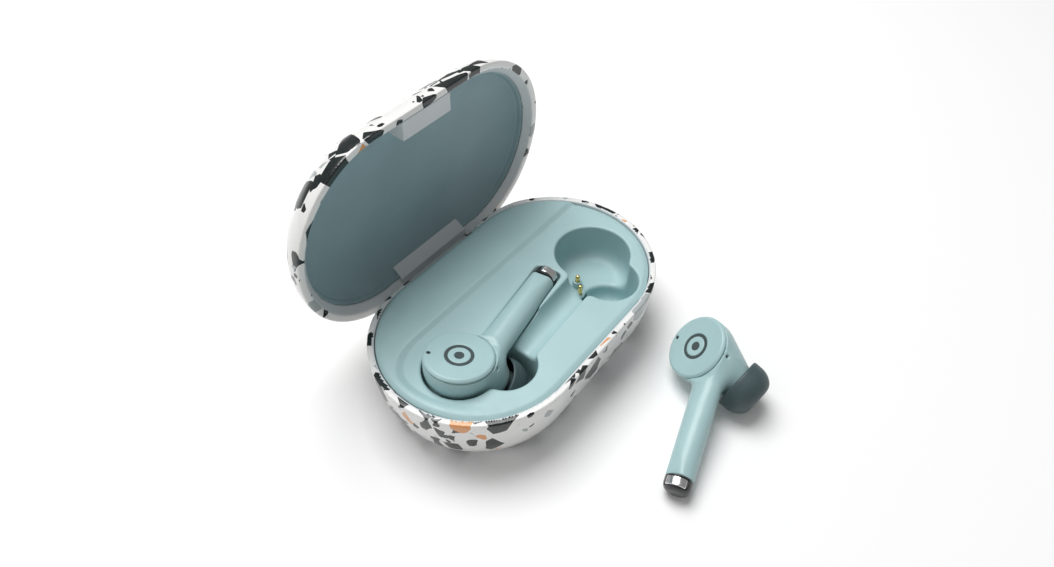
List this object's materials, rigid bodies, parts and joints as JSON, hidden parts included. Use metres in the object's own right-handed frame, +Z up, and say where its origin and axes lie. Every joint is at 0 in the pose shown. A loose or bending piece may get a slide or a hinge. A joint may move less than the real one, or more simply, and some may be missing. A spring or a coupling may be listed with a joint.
{
  "type": "wireless earbuds case",
  "caption": "Flat oval charging case with a hinged lid, sprung charge contacts and bud wells; one stem earbud sits in its well and the other lies in front.",
  "frame": {"origin": "centre of the case's flat bottom", "axes": "+X along the case's length towards the empty well, +Y towards the hinge, +Z up"},
  "size_m": [0.066, 0.0776, 0.0514],
  "materials": {
    "terrazzo_shell": "glossy white with dark green, grey and orange stone chips",
    "mint_tray": "fine satin mint",
    "mint_liner": "fine satin mint",
    "mint_bud": "soft matte mint",
    "grey_frame": "satin light grey",
    "mark_grey": "satin dark grey",
    "cap_dark": "polished dark",
    "chrome_plate": "polished",
    "silicone_dark": "satin silicone",
    "gold_contact": "gold plated",
    "steel": "plain",
    "magnet_plating": "nickel plated",
    "battery_foil": "foil",
    "circuit_board": "solder mask green",
    "chip_black": "moulded black",
    "flex_film": "amber film"
  },
  "bodies": {
    "case_base": {"base_shell": "terrazzo_shell", "tray": "mint_tray", "battery": "battery_foil", "charging_board": "circuit_board", "board_chips": "chip_black", "usb_socket": "steel", "board_screws": "steel", "hinge_pin": "steel", "hinge_spring": "steel", "base_magnet": "magnet_plating", "well_magnet_left": "magnet_plating", "well_magnet_right": "magnet_plating", "contact_block_left": "chip_black", "contact_block_right": "chip_black", "contact_flex_left": "flex_film", "contact_flex_right": "flex_film", "contact_spring_left_a": "steel", "contact_spring_left_b": "steel", "contact_spring_right_a": "steel", "contact_spring_right_b": "steel"},
    "lid": {"lid_shell": "terrazzo_shell", "lid_liner": "mint_liner", "hinge_block": "grey_frame", "latch_block": "grey_frame", "lid_magnet": "magnet_plating"},
    "left_bud": {"left_face_disc": "mint_bud", "left_face_mark": "mark_grey", "left_housing": "mint_bud", "left_stem_cap": "cap_dark", "left_stem_plate": "chrome_plate", "left_nozzle_mesh": "steel", "left_ear_tip": "silicone_dark", "left_driver": "steel", "left_cell": "steel", "left_bud_board": "circuit_board", "left_charge_pads": "gold_contact", "left_mic_mesh": "chip_black"},
    "right_bud": {"right_face_disc": "mint_bud", "right_face_mark": "mark_grey", "right_housing": "mint_bud", "right_stem_cap": "cap_dark", "right_stem_plate": "chrome_plate", "right_nozzle_mesh": "steel", "right_ear_tip": "silicone_dark", "right_driver": "steel", "right_cell": "steel", "right_bud_board": "circuit_board", "right_charge_pads": "gold_contact", "right_mic_mesh": "chip_black"},
    "plunger_left_a": {"contact_pin_left_a": "gold_contact"},
    "plunger_left_b": {"contact_pin_left_b": "gold_contact"},
    "plunger_right_a": {"contact_pin_right_a": "gold_contact"},
    "plunger_right_b": {"contact_pin_right_b": "gold_contact"}
  },
  "joints": [
    {"name": "lid_hinge", "type": "hinge", "parent": "case_base", "child": "lid", "pos_m": [0, 0.01874, 0.01169], "axis": [-1, 0, 0], "range_deg": [-87.5, 0]},
    {"name": "left_bud_lift", "type": "slide", "parent": "case_base", "child": "left_bud", "axis": [0, 0, 1], "range_m": [0, 0.03]},
    {"name": "right_bud_lift", "type": "slide", "parent": "case_base", "child": "right_bud", "axis": [0, 0, 1], "range_m": [0, 0.03]},
    {"name": "press_left_a", "type": "slide", "parent": "case_base", "child": "plunger_left_a", "axis": [0, 0, -1], "range_m": [0, 0.0006], "stiffness_N_per_m": 100, "deforming": ["contact_spring_left_a"]},
    {"name": "press_left_b", "type": "slide", "parent": "case_base", "child": "plunger_left_b", "axis": [0, 0, -1], "range_m": [0, 0.0006], "stiffness_N_per_m": 100, "deforming": ["contact_spring_left_b"]},
    {"name": "press_right_a", "type": "slide", "parent": "case_base", "child": "plunger_right_a", "axis": [0, 0, -1], "range_m": [0, 0.0006], "stiffness_N_per_m": 100, "deforming": ["contact_spring_right_a"]},
    {"name": "press_right_b", "type": "slide", "parent": "case_base", "child": "plunger_right_b", "axis": [0, 0, -1], "range_m": [0, 0.0006], "stiffness_N_per_m": 100, "deforming": ["contact_spring_right_b"]}
  ]
}
